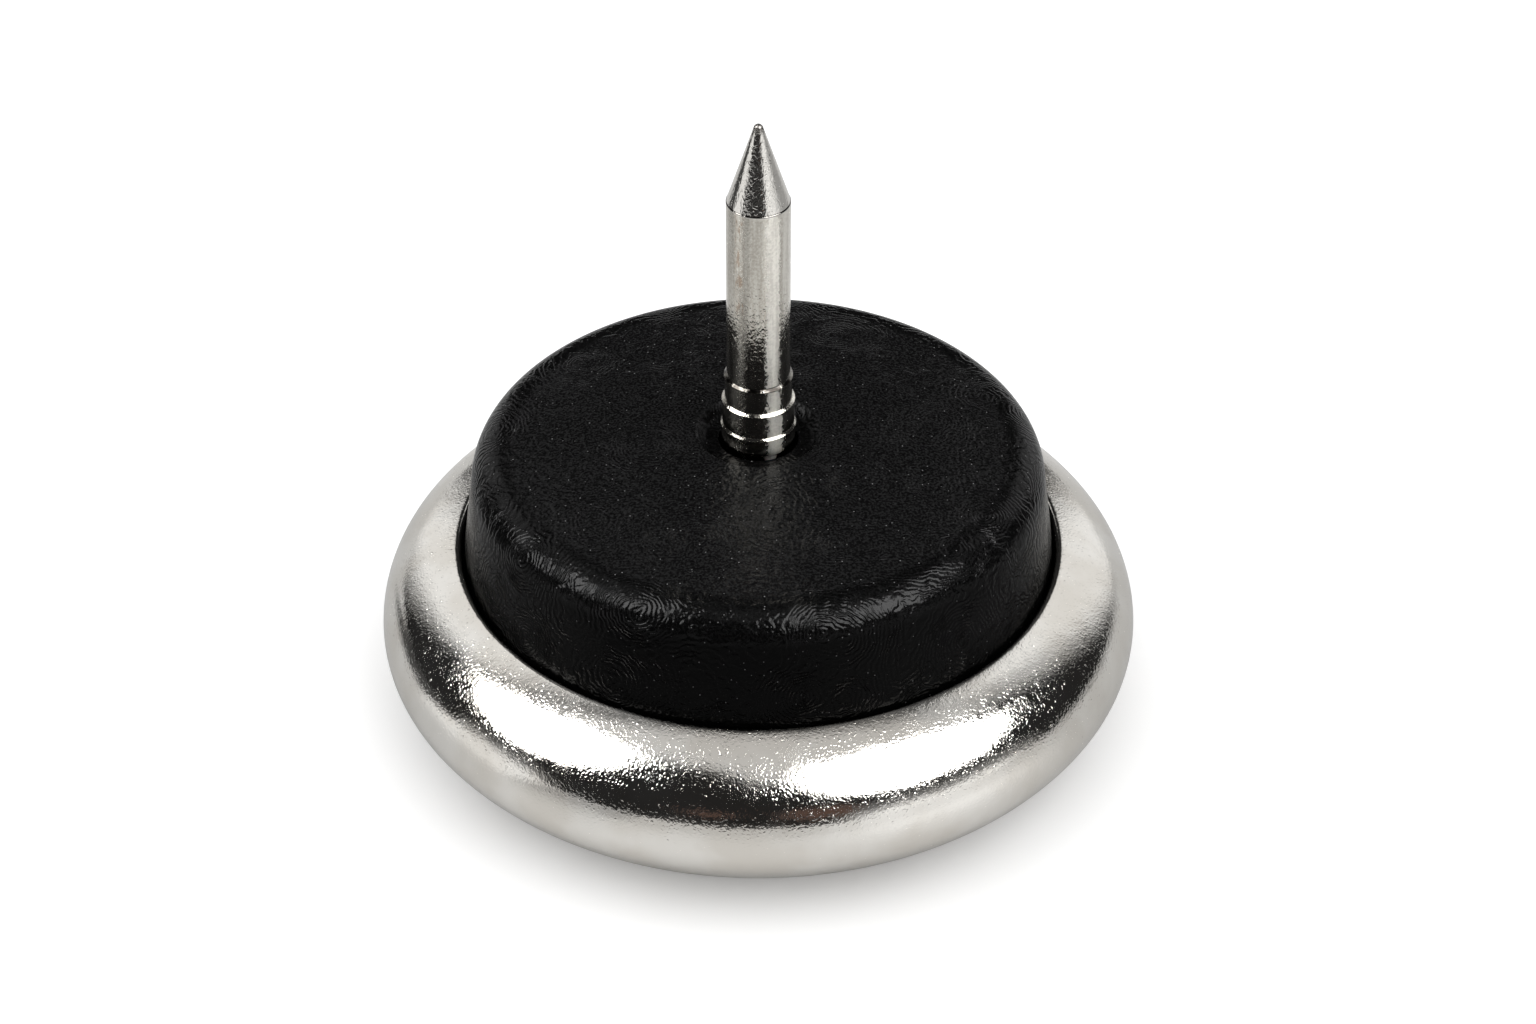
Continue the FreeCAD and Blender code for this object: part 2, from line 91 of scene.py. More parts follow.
SHANK = 1.315
REACH = 15.25                # tip above the recess's floor
POINT = 3.57
TIP = 0.2
RINGS = (1.43, 1.525, 1.575)     # radii of the edges from the top ring down
RING_PITCH = 1.17
LOWEST_RING = 0.87
RING_SLOPE = 0.1             # height of the slope that leads onto a ring
UNDERCUT = 0.04              # below its edge a ring steps in again
UNDERCUT_HEIGHT = 0.05
TAPER = 0.01                 # each stretch widens by this much down to the next ring
RING_FOOT_ROUND = 0.01
RING_EDGE_ROUND = 0.015
RING_TOP_ROUND = 0.02
POINT_ROUND = 0.012
POINT_CHAMFER = 0.025
NECK_STEP = 0.215            # the neck is thinner than the shank
COLLAR_DIP = 0.12
COLLAR_ROUND = 0.42
HEAD = 4.0
HEAD_THICKNESS = 1.2
HEAD_ROUND = 0.1


def polar(centre, radius, degrees):
    angle = math.radians(degrees)
    return (centre[0] + radius * math.cos(angle), centre[1] + radius * math.sin(angle))


def bearing(centre, point):
    """Direction from a centre to a point, in degrees."""
    return math.degrees(math.atan2(point[1] - centre[1], point[0] - centre[0]))


class Rim:
    """Centres of the rim's curves, which the shell and the cushion's foot share."""

    dome = (0.0, math.sqrt(DOME**2 - SOLE**2))
    reach = polar((GIRTH - BELLY_SIDE, 0.0), BELLY_SIDE - BELLY, -BELLY_TURN)
    slope = math.asin(reach[0] / (DOME - BELLY))
    height = dome[1] - (DOME - BELLY) * math.cos(slope) - reach[1]
    belly = (reach[0], reach[1] + height)
    low = (GIRTH - BELLY_SIDE, height)
    side = (GIRTH - RIM_SIDE, height)
    top = polar(side, RIM_SIDE - RIM_TOP, RIM_TURN)
    lip_radius = GIRTH - RIM_WIDTH
    lip_height = top[1] + math.sqrt(RIM_TOP**2 - (lip_radius - top[0])**2)
    dome_end = math.degrees(slope) - 90.0


CROWN_HEIGHT = Rim.lip_height + RISE
RECESS_FLOOR = CROWN_HEIGHT - RECESS_DEPTH
FIRST_RING = RECESS_FLOOR + LOWEST_RING + (len(RINGS) - 1) * RING_PITCH
TIP_HEIGHT = RECESS_FLOOR + REACH
POINT_BASE = TIP_HEIGHT - POINT
CROWN_CENTRE = (0.0, CROWN_HEIGHT - CROWN)


# Turned pieces

class Outline:
    """Half section in the XZ plane that is traced point by point and then turned."""

    def __init__(self, radius, height):
        self.mesh = bmesh.new()
        self.first = self.mesh.verts.new((radius, 0, height))
        self.last = self.first
        self.corners = []

    def place(self):
        return (self.last.co.x, self.last.co.z)

    def line(self, radius, height, corner=0.0):
        """Straight on to a point, whose corner may be rounded later."""
        made = bmesh.ops.extrude_vert_indiv(self.mesh, verts=[self.last])
        self.last = made["verts"][0]
        self.last.co = (radius, 0, height)
        if corner:
            self.corners.append((self.last, corner))

    def arc(self, centre, end, steps):
        """Round a centre from here to the bearing of an end, the short way."""
        turn = (end - bearing(centre, self.place()) + 180.0) % 360.0 - 180.0
        made = bmesh.ops.spin(
            self.mesh, geom=[self.last], cent=(centre[0], 0, centre[1]), axis=(0, -1, 0),
            angle=math.radians(turn), steps=steps, use_merge=False, use_duplicate=False)
        self.last = [v for v in made["geom_last"] if isinstance(v, bmesh.types.BMVert)][0]

    def close(self):
        self.mesh.edges.new((self.last, self.first))

    def round_corners(self):
        for vertex, radius in self.corners:
            first, second = [(edge.other_vert(vertex).co - vertex.co).normalized()
                             for edge in vertex.link_edges]
            half = first.angle(second) / 2
            bmesh.ops.bevel(self.mesh, geom=[vertex], offset=radius / math.tan(half),
                            offset_type="OFFSET", segments=CORNER_STEPS, profile=0.5,
                            affect="VERTICES", material=-1)

    def brace(self):
        """Points just inside the ends of long stretches, so that they shade flat."""
        for edge in self.mesh.edges[:]:
            for vertex in edge.verts[:]:
                length = edge.calc_length()
                if length > LONG_STRETCH:
                    bmesh.utils.edge_split(edge, vertex, BRACE / length)

    def turned(self, name):
        """The piece as an object, in metres, with its place in its mesh."""
        self.round_corners()
        self.brace()
        mesh = self.mesh
        bmesh.ops.spin(mesh, geom=mesh.verts[:] + mesh.edges[:], cent=(0, 0, 0),
                       axis=(0, 0, 1), angle=math.tau, steps=ROUND_STEPS, use_merge=True,
                       use_duplicate=False)
        bmesh.ops.remove_doubles(mesh, verts=mesh.verts[:], dist=0.0001)
        bmesh.ops.recalc_face_normals(mesh, faces=mesh.faces[:])
        bmesh.ops.scale(mesh, vec=(MM, MM, MM), verts=mesh.verts[:])
        for face in mesh.faces:
            face.smooth = True
        data = bpy.data.meshes.new(name)
        mesh.to_mesh(data)
        mesh.free()
        piece = bpy.data.objects.new(name, data)
        bpy.context.scene.collection.objects.link(piece)
        return piece


def rim_outline(outline, end, steps):
    """The rim's four curves, from the belly round to a bearing on the top one."""
    outline.arc(Rim.belly, -BELLY_TURN, steps)
    outline.arc(Rim.low, 0.0, steps)
    outline.arc(Rim.side, RIM_TURN, steps)
    outline.arc(Rim.top, end, steps)


def turned_shell():
    outline = Outline(0.0, 0.0)
    outline.line(SOLE, 0.0)
    outline.arc(Rim.dome, Rim.dome_end, BROAD_STEPS)
    lip = Rim.lip_radius + LIP_ROUND
    outer = (lip, Rim.top[1] + math.sqrt((RIM_TOP - LIP_ROUND)**2 - (lip - Rim.top[0])**2))
    inner_top = RIM_TOP - SHEET
    inner = (lip, Rim.top[1] + math.sqrt((inner_top + LIP_ROUND)**2 - (lip - Rim.top[0])**2))
    rim_outline(outline, bearing(Rim.top, outer), SEEN_STEPS)
    outline.arc(outer, 180.0, LIP_STEPS)
    outline.line(Rim.lip_radius, inner[1])
    joined = polar(Rim.top, inner_top, bearing(Rim.top, inner))
    outline.arc(inner, bearing(inner, joined), LIP_STEPS)
    outline.arc(Rim.top, RIM_TURN, BROAD_STEPS)
    outline.arc(Rim.side, 0.0, HIDDEN_STEPS)
    outline.arc(Rim.low, -BELLY_TURN, HIDDEN_STEPS)
    outline.arc(Rim.belly, Rim.dome_end, HIDDEN_STEPS)
    bowl = DOME - SHEET
    floor_edge = math.sqrt(bowl**2 - (Rim.dome[1] - SHEET)**2)
    outline.arc(Rim.dome, bearing(Rim.dome, (floor_edge, SHEET)), HIDDEN_STEPS)
    outline.line(0.0, SHEET)
    return outline.turned("pressed_shell")


def along_to_circle(point, direction, centre, radius):
    """Where a ray from inside a circle meets it."""
    start = Vector((point[0] - centre[0], point[1] - centre[1]))
    way = Vector(direction).normalized()
    across = start.dot(way)
    onward = -across + math.sqrt(across**2 - start.length_squared + radius**2)
    return (point[0] + way.x * onward, point[1] + way.y * onward)


def turned_cushion():
    inset = SHEET + FOOT_GAP
    outline = Outline(HOLE, POCKET_ROOF)
    outline.line(POCKET, POCKET_ROOF)
    outline.line(POCKET, SHEET)
    outline.line(SEAT, SHEET)

    # Foot: up to the rim's inside and round with it
    seat = (SEAT, SHEET)
    away = math.hypot(seat[0] - Rim.belly[0], seat[1] - Rim.belly[1])
    contact = bearing(Rim.belly, seat) + math.degrees(math.acos((BELLY - inset) / away))
    outline.line(*polar(Rim.belly, BELLY - inset, contact))
    neck = Rim.lip_radius - SEAM_GAP
    neck_bearing = math.degrees(math.acos((neck - Rim.top[0]) / (RIM_TOP - inset)))
    rim_outline(outline, neck_bearing, HIDDEN_STEPS)
    outline.line(neck, Rim.lip_height)

    # Drafted wall, shoulder and crown
    draft = math.radians(DRAFT)
    up = (-math.sin(draft), math.cos(draft))
    wall_side = (neck - SHOULDER * math.cos(draft), Rim.lip_height - SHOULDER * math.sin(draft))
    shoulder = along_to_circle(wall_side, up, CROWN_CENTRE, CROWN - SHOULDER)
    outline.line(*polar(shoulder, SHOULDER, DRAFT))
    outline.arc(shoulder, bearing(CROWN_CENTRE, shoulder), SEEN_STEPS)
    rim_bearing = math.degrees(math.acos(RECESS / CROWN))
    outline.arc(CROWN_CENTRE, rim_bearing, BROAD_STEPS)
    outline.corners.append((outline.last, RECESS_EDGE_ROUND))

    # Recess and hole
    outline.line(RECESS - RECESS_WALL, RECESS_FLOOR, RECESS_FILLET)
    outline.line(HOLE, RECESS_FLOOR, HOLE_ROUND)
    outline.close()
    return outline.turned("rubber_cushion")


def turned_nail():
    head_top = SHEET + HEAD_THICKNESS
    neck = SHANK - NECK_STEP
    outline = Outline(0.0, SHEET)
    outline.line(HEAD, SHEET, HEAD_ROUND)
    outline.line(HEAD, head_top, HEAD_ROUND)
    outline.line(neck, head_top)
    collar_foot = RECESS_FLOOR - COLLAR_DIP
    outline.line(neck, collar_foot)
    outline.line(RINGS[-1] - UNDERCUT + TAPER, collar_foot, COLLAR_ROUND)
    stretches = [radius - UNDERCUT + TAPER for radius in RINGS[-2::-1]] + [SHANK]
    for rank, (radius, above) in enumerate(zip(RINGS[::-1], stretches)):
        height = RECESS_FLOOR + LOWEST_RING + rank * RING_PITCH
        outline.line(radius - UNDERCUT, height - UNDERCUT_HEIGHT, RING_FOOT_ROUND)
        outline.line(radius, height, RING_EDGE_ROUND)
        outline.line(above, height + RING_SLOPE, RING_TOP_ROUND)
    outline.line(SHANK, POINT_BASE, POINT_ROUND)
    outline.line(SHANK - POINT_CHAMFER, POINT_BASE + POINT_CHAMFER)
    foot = outline.place()
    nose = (0.0, TIP_HEIGHT - TIP)
    away = math.hypot(foot[0] - nose[0], foot[1] - nose[1])
    contact = bearing(nose, foot) + math.degrees(math.acos(TIP / away))
    outline.line(*polar(nose, TIP, contact))
    outline.arc(nose, 90.0, NOSE_STEPS)
    return outline.turned("forged_nail")


# Shader maths

class Signal:
    """A number that varies over a surface, with the usual arithmetic."""

    def __init__(self, tree, socket):
        self.tree, self.socket = tree, socket

    def combine(self, operation, first, second=None):
        node = self.tree.nodes.new("ShaderNodeMath")
        node.operation = operation
        for slot, value in zip(node.inputs, (first, second)):
            if isinstance(value, Signal):
                self.tree.links.new(value.socket, slot)
            elif value is not None:
                slot.default_value = value
        return Signal(self.tree, node.outputs[0])

    def __add__(self, other):
        return self.combine("ADD", self, other)

    def __radd__(self, other):
        return self.combine("ADD", other, self)

    def __sub__(self, other):
        return self.combine("SUBTRACT", self, other)

    def __rsub__(self, other):
        return self.combine("SUBTRACT", other, self)

    def __mul__(self, other):
        return self.combine("MULTIPLY", self, other)

    def __rmul__(self, other):
        return self.combine("MULTIPLY", other, self)

    def __truediv__(self, other):
        return self.combine("DIVIDE", self, other)

    def __pow__(self, other):
        return self.combine("POWER", self, other)

    def most(self, other):
        return self.combine("MAXIMUM", self, other)

    def least(self, other):
        return self.combine("MINIMUM", self, other)

    def size(self):
        return self.combine("ABSOLUTE", self)

    def wave(self):
        return self.combine("SINE", self)

    def degrees_from(self, other):
        """Angle of the pair (other, self), in degrees."""
        return self.combine("ARCTAN2", self, other) * math.degrees(1)

    def asin_degrees(self):
        return self.combine("ARCSINE", self) * math.degrees(1)

    def band(self, middle, half, inner, outer):
        """1 near a middle and 0 away from it, fading between two shares of half a width."""
        return 1 - ((self - middle) / half).size().rise(inner, outer)

    def rise(self, low, high):
        """Smooth climb from 0 to 1 between two values."""
        node = self.tree.nodes.new("ShaderNodeMapRange")
        node.interpolation_type = "SMOOTHSTEP"
        self.tree.links.new(self.socket, node.inputs["Value"])
        node.inputs["From Min"].default_value = low
        node.inputs["From Max"].default_value = high
        return Signal(self.tree, node.outputs["Result"])


class NodeTree:
    """Nodes of one material or of the world."""

    def __init__(self, tree):
        self.tree = tree
        tree.nodes.clear()

    def add(self, kind, settings=None, **values):
        """One node: settings first, then the values or links of its named sockets."""
        node = self.tree.nodes.new("ShaderNode" + kind)
        for name, value in (settings or {}).items():
            setattr(node, name, value)
        for name, value in values.items():
            self.fill(node.inputs[name.replace("_", " ")], value)
        return node

    def fill(self, socket, value):
        if isinstance(value, Signal):
            self.tree.links.new(value.socket, socket)
        elif isinstance(value, bpy.types.NodeSocket):
            self.tree.links.new(value, socket)
        else:
            socket.default_value = value

    def signal(self, node, output=0):
        return Signal(self.tree, node.outputs[output])

    def blend(self, factor, first, second):
        """Colour between two colours."""
        node = self.tree.nodes.new("ShaderNodeMix")
        node.data_type = "RGBA"
        self.fill(node.inputs[0], factor)
        self.fill(node.inputs[6], first)
        self.fill(node.inputs[7], second)
        return node.outputs[2]

    def noise(self, place, wavelength, detail=2.0, distortion=0.0):
        """Noise whose lumps are about one wavelength across, in millimetres."""
        node = self.add("TexNoise", Vector=place, Scale=1.0 / (wavelength * MM), Detail=detail,
                        Distortion=distortion)
        return self.signal(node, 0)


class Finish(NodeTree):
    """Material with one Principled shader."""

    def __init__(self, name, **constants):
        self.material = bpy.data.materials.new(name)
        self.material.use_nodes = True
        super().__init__(self.material.node_tree)
        self.shader = self.add("BsdfPrincipled", **constants)
        self.output = self.add("OutputMaterial")
        self.tree.links.new(self.shader.outputs[0], self.output.inputs["Surface"])
        self.place = self.add("TexCoord").outputs["Object"]
        self.axes = [self.signal(self.add("SeparateXYZ", Vector=self.place), axis) / MM
                     for axis in range(3)]

    def set(self, name, value):
        self.fill(self.shader.inputs[name], value)

    def specks(self, spacing, radius, share):
        """Small round specks in millimetres, some strong, some faint, in a share of cells."""
        node = self.add("TexVoronoi", Vector=self.place, Scale=1.0 / (spacing * MM))
        near = 1 - self.signal(node, "Distance").rise(0.5 * radius / spacing, radius / spacing)
        chance = self.signal(self.add("SeparateColor", Color=node.outputs["Color"]), 0)
        return near * chance.rise(1 - share, 1)

    def relief(self, height):
        """Bump from a height in millimetres."""
        node = self.add("Bump", Strength=1.0, Distance=MM, Height=height)
        self.set("Normal", node.outputs[0])


DULL_PLATE = (0.67, 0.64, 0.59, 1)
CLEAN_PLATE = (0.76, 0.74, 0.70, 1)
PIT = (0.2, 0.18, 0.16, 1)


def nickel_plate():
    """Bright plate over pressed steel, with a fine orange peel, raised flecks and a few pits."""
    finish = Finish("nickel_plate", Metallic=1.0)
    clouds = finish.noise(finish.place, 3.0, detail=3.0)
    smudges = finish.noise(finish.place, 0.9, detail=2.0)
    pits = finish.specks(0.9, 0.035, 0.35)
    tone = finish.blend(clouds.rise(0.35, 0.65), DULL_PLATE, CLEAN_PLATE)
    finish.set("Base Color", finish.blend(pits * 0.7, tone, PIT))
    finish.set("Roughness", 0.07 + 0.08 * smudges.rise(0.4, 0.75))
    flecks = finish.specks(0.3, 0.065, 0.6)
    peel = finish.noise(finish.place, 0.13, detail=1.0, distortion=0.5)
    curls = finish.noise(finish.place, 0.11, detail=0.0, distortion=0.6).rise(0.55, 0.75)
    patchy = finish.noise(finish.place, 0.7, detail=1.0).rise(0.3, 0.7)
    waves = finish.noise(finish.place, 1.8, detail=1.0)
    fine = (0.75 + 0.5 * patchy) * (0.0066 * peel + 0.0026 * curls + 0.0065 * flecks)
    finish.relief(fine + 0.012 * waves - 0.003 * pits)
    return finish.material


# The right track is duller, and its lighter colour is a painted highlight
DULL_HIGHLIGHT_TRACK = (28, 14)      # bearing from the front round to the right, and half width
STAIN_TRACK = (-37, 8)
FAINT_TRACK = (-31, 9)
DARK_WIRE = (0.46, 0.43, 0.38, 1)
LIGHT_WIRE = (0.64, 0.62, 0.56, 1)
# Painted highlight colour for the right track and the right side
PAINTED_HIGHLIGHT_WIRE = (0.93, 0.905, 0.84, 1)
STAIN = (0.36, 0.27, 0.20, 1)
CONE_STEEL = (0.74, 0.72, 0.68, 1)
# Painted shade for the tip, and for the first ring and the line under the point
PAINTED_SHADE_TIP = (0.13, 0.12, 0.11, 1)
PAINTED_SHADE = (0.05, 0.045, 0.04, 1)


def nail_steel():
    """Plated wire with lengthwise drawing lines, two dull tracks left by the dies, and painted
    highlight and shade.
    """
    finish = Finish("nail_steel", Metallic=1.0)
    right, away, height = finish.axes
    drawn = finish.add("Mapping", Vector=finish.place, Scale=(1.0, 1.0, 0.06))
    lines = finish.noise(drawn.outputs[0], 0.14, detail=3.0)
    grain = finish.noise(finish.place, 0.06, detail=1.0)
    stretched = finish.add("Mapping", Vector=finish.place, Scale=(1.0, 1.0, 0.6))
    squiggles = finish.noise(stretched.outputs[0], 0.15, detail=1.0, distortion=1.2)
    blotches = finish.noise(finish.place, 0.35, detail=2.0)
    runs = finish.add("Mapping", Vector=finish.place, Scale=(1.0, 1.0, 0.22))
    streaks = finish.noise(runs.outputs[0], 0.17, detail=2.0).rise(0.48, 0.62)
    around = right.degrees_from(0 - away) + 22.0 * (squiggles - 0.5)
    point = height.rise(POINT_BASE - 0.1, POINT_BASE)

    # Plate with a painted highlight along the right track and down the right side, a brown stain
    # at the left, painted shade on the first ring, in a dark line under the point and on the tip
    mottle = (0.6 * lines + 0.4 * finish.noise(finish.place, 0.11, detail=1.0)).rise(0.35, 0.65)
    tone = finish.blend(mottle, DARK_WIRE, LIGHT_WIRE)
    strong = around.band(*DULL_HIGHLIGHT_TRACK, 0.5, 1.4)
    painted_highlight = (0.6 + 0.4 * mottle) * strong.most(0.55 * around.rise(40, 50))
    tone = finish.blend(painted_highlight, tone, PAINTED_HIGHLIGHT_WIRE)
    beside = around.band(*STAIN_TRACK, 0.4, 1.3)
    stain = beside * height.rise(19.0, 21.0) * (1 - point) * streaks
    tone = finish.blend(0.75 * stain, tone, STAIN)
    tone = finish.blend(point, tone, CONE_STEEL)
    # Painted shade on the tip
    nose = height.rise(TIP_HEIGHT - 0.45, TIP_HEIGHT - 0.1)
    tone = finish.blend(0.9 * nose, tone, PAINTED_SHADE_TIP)
    # Painted shade: the first ring and a line under the point are coloured dark
    ring = height.band(FIRST_RING + RING_SLOPE / 2, 0.09, 0.8, 1.2)
    ring_shade = ring * (0.7 + 0.3 * blotches.rise(0.4, 0.6))
    edge = height.band(POINT_BASE + 0.005, 0.04, 0.7, 1.2)
    finish.set("Base Color", finish.blend(ring_shade.most(0.85 * edge), tone, PAINTED_SHADE))

    # The tracks are duller than the rest
    faint = around.band(*FAINT_TRACK, 0.4, 1.5)
    dull = strong.most(0.4 * faint) * (1 - point)
    finish.set("Roughness", 0.06 + 0.42 * dull + 0.3 * nose + 0.08 * grain)
    finish.relief((0.011 + 0.004 * point) * squiggles + 0.004 * lines + 0.003 * dull * grain)
    return finish.material


RIPPLE = 0.16                # spacing of the rubber's ripples
SWIRL = 3.2                  # spacing of the middles that they run round
# Shaded and lit copies of the rubber's colour: painted shade on the wall and recess, painted
# light on the crown
SHADED_RUBBER = (0.001, 0.001, 0.001, 1)
LIT_TOP_RUBBER = (0.0135, 0.0135, 0.0137, 1)
DUST = (0.2, 0.2, 0.2, 1)


def black_rubber():
    """Moulded rubber: satin shoulder, duller elsewhere, fine ripples, tiny specks and painted
    light and shade.
    """
    finish = Finish("black_rubber", Metallic=0.0, IOR=1.5)
    finish.set("Specular IOR Level", 0.09)
    right, away, height = finish.axes
    radius = (right ** 2 + away ** 2) ** 0.5
    wall = 1 - height.rise(WALL_TOP - 0.05, WALL_TOP + 0.55)
    recess = 1 - radius.rise(RECESS - 0.3, RECESS)
    crown = 1 - radius.rise(CROWN_RADIUS - 0.6, CROWN_RADIUS)
    specks = finish.specks(0.26, 0.035, 0.6)
    grain = finish.noise(finish.place, 0.1, detail=2.0)
    mottle = grain.rise(0.42, 0.62)
    # Painted light and shade: the crown is coloured lighter than the shoulder and recess, the
    # wall darkest; the grain mottles it
    grain_and_painted_light = (0.2 + 0.8 * mottle) * (crown * (1 - recess)).most(0.25 * (1 - wall))
    plain = finish.blend(grain_and_painted_light, SHADED_RUBBER, LIT_TOP_RUBBER)
    specks = specks * (1 - 0.6 * wall)
    finish.set("Base Color", finish.blend(specks, plain, DUST))
    finish.set("Roughness", 0.15 + 0.06 * finish.noise(finish.place, 2.5, detail=2.0))

    # Ripples run round scattered middles, as in a thumb print
    cells = finish.add("TexVoronoi", {"feature": "SMOOTH_F1"}, Vector=finish.place,
                       Scale=1.0 / (SWIRL * MM), Smoothness=0.6)
    wobble = finish.noise(finish.place, 0.5, detail=2.0)
    rounds = finish.signal(cells, "Distance") * (SWIRL / RIPPLE) + 2.4 * wobble
    patchy = finish.noise(finish.place, 1.1, detail=1.0).rise(0.35, 0.65)
    finish.relief(0.0095 * (0.6 + 0.6 * patchy) * (rounds * math.tau).wave() + 0.008 * grain)

    # The wall, the crown and the recess are duller than the shoulder
    matt = finish.add("BsdfPrincipled", Metallic=0.0, IOR=1.5, Specular_IOR_Level=0.01)
    for name in ("Base Color", "Roughness", "Normal"):
        finish.tree.links.new(finish.shader.inputs[name].links[0].from_socket,
                              matt.inputs[name])
    mixed = finish.add("MixShader", Fac=(0.62 * wall).most(0.52 * crown).most(0.65 * recess))
    finish.tree.links.new(finish.shader.outputs[0], mixed.inputs[1])
    finish.tree.links.new(matt.outputs[0], mixed.inputs[2])
    finish.tree.links.new(mixed.outputs[0], finish.output.inputs["Surface"])
    return finish.material


# Studio: directions are degrees to the right of +Y and degrees above the floor

SOFTBOX = 13.0               # brightness of the softboxes in reflections
BACKDROP = 1.02
CEILING = 0.7
GLOOM = 0.022                # unlit room
LAMP_DISTANCE = 0.45         # metres
PLAIN = 1.2                  # soft light from all round, as matt surfaces get it
FLOOR_TONE = 0.75
FLOOR_LIFT = 0.15            # how much whiter the camera sees the floor
FLOOR_HALF = 1.5             # metres
GLINT = 0.1
GLINT_TONE = (1.0, 0.62, 0.50, 1)
WHITE = (1, 1, 1, 1)
BLACK = (0, 0, 0, 1)

LEFT_SOFTBOX = {"middle": (-97.5, 44), "half": (27.5, 22), "corner": 2.6, "slant": 0.35,
                "softness": 0.4}
RIGHT_SOFTBOX = {"middle": (126, 48.3), "half": (37.5, 22.8), "corner": 2.5, "slant": -0.35,
                 "softness": 0.4}
RIGHT_GLINT = {"middle": (163, 16), "half": (11, 8), "corner": 2.0, "softness": 0.6}
LEFT_GLINT = {"middle": (-166, 16), "half": (7, 4), "corner": 2.0, "softness": 0.6}


def sky_direction(azimuth, elevation):
    side, height = math.radians(azimuth), math.radians(elevation)
    return Vector((math.sin(side) * math.cos(height), math.cos(side) * math.cos(height),
                   math.sin(height)))


def patch(azimuth, elevation, middle, half, corner, softness, slant=0.0):
    """1 inside a rounded patch of the room and 0 outside it."""
    rise = elevation - middle[1]
    across = (azimuth - middle[0] + slant * rise) / half[0]
    reach = across.size() ** corner + (rise / half[1]).size() ** corner
    return 1 - reach.rise(1 - softness, 1 + softness)


def studio_world():
    world = bpy.data.worlds.new("studio")
    bpy.context.scene.world = world
    world.use_nodes = True
    world.cycles.sampling_method = "NONE"    # keeps the matt surfaces' light out of reflections
    room = NodeTree(world.node_tree)
    way = room.add("SeparateXYZ", Vector=room.add("TexCoord").outputs["Generated"])
    right, away, up = [room.signal(way, axis) for axis in range(3)]
    azimuth = right.degrees_from(away)
    elevation = up.asin_degrees()
    aside = azimuth.size()

    # What polished surfaces mirror: softboxes, backdrops at the far side, ceiling and low glows
    left_box = (patch(azimuth, elevation, **LEFT_SOFTBOX)
                * (elevation - 27 - 0.5 * (azimuth + 90)).rise(-4, 4))
    right_box = (patch(azimuth, elevation, **RIGHT_SOFTBOX)
                 * (elevation - 28 + 0.67 * (azimuth - 105)).rise(-5, 5))
    inward = aside + 0.2 * (elevation - 15).most(0)
    outward = (azimuth - 4).size() - 0.6 * elevation.least(40)
    at_right = azimuth.rise(-1, 1)
    edge = at_right * 0.65 * (45 - azimuth) + (1 - at_right) * 0.3 * (0 - azimuth - 45)
    backdrop = (inward.rise(18, 30) * (1 - outward.rise(32, 52))
                * (1 - (elevation + edge).rise(48, 70)) * (1 - 0.45 * azimuth.rise(48, 62)))
    ceiling = (elevation - 17 * aside.rise(70, 130) + 9 * aside.rise(164, 178)).rise(44, 56)
    ceiling = ceiling * (1 - 0.85 * away.rise(0.08, 0.34))
    low = 1 - elevation.rise(-2, 12)
    beside = azimuth.band(-104, 17, 0.5, 1.2).most(1.3 * azimuth.band(127, 30, 0.5, 1.2))
    low_glow = beside * (0.85 * low + 0.2 * (1 - elevation.rise(6, 26)))
    haze = 0.06 * low * aside.rise(138, 150)
    mirrored = GLOOM + SOFTBOX * left_box.most(right_box) ** 3
    mirrored = mirrored.most(BACKDROP * backdrop).most(CEILING * ceiling)
    mirrored = mirrored.most(low_glow).most(haze)
    glints = (patch(azimuth, elevation, **RIGHT_GLINT)
              .most(patch(azimuth, elevation, **LEFT_GLINT)))

    # What matt surfaces get: most from above, for a close soft shadow
    soft = PLAIN * (0.3 + 0.7 * up.rise(0.4, 0.9)) * (1 + 0.35 * (0 - away).rise(0.1, 0.8))

    rays = room.add("LightPath")
    camera = room.signal(rays, "Is Camera Ray")
    first = 1 - room.signal(rays, "Diffuse Depth").least(1)
    glossy = room.signal(rays, "Is Glossy Ray") * first
    strength = camera + (1 - camera) * (glossy * mirrored + (1 - glossy) * soft)
    strength = strength + GLINT * glossy * glints
    tint = room.blend(glossy * glints, WHITE, GLINT_TONE)
    lit = room.add("Background", Color=tint, Strength=strength)
    output = room.add("OutputWorld")
    room.tree.links.new(lit.outputs[0], output.inputs["Surface"])


def side_lamp(name, azimuth, elevation, width, height, brightness):
    """Lamp behind a softbox, as matt surfaces get its light."""
    lamp = bpy.data.lights.new(name, "AREA")
    lamp.shape = "RECTANGLE"
    lamp.size = 2 * LAMP_DISTANCE * math.tan(math.radians(width) / 2)
    lamp.size_y = 2 * LAMP_DISTANCE * math.tan(math.radians(height) / 2)
    lamp.energy = brightness * math.pi * lamp.size * lamp.size_y
    holder = bpy.data.objects.new(name, lamp)
    way = sky_direction(azimuth, elevation)
    holder.location = way * LAMP_DISTANCE
    holder.rotation_euler = way.to_track_quat("Z", "Y").to_euler()
    holder.visible_camera = False
    holder.visible_glossy = False
    bpy.context.scene.collection.objects.link(holder)


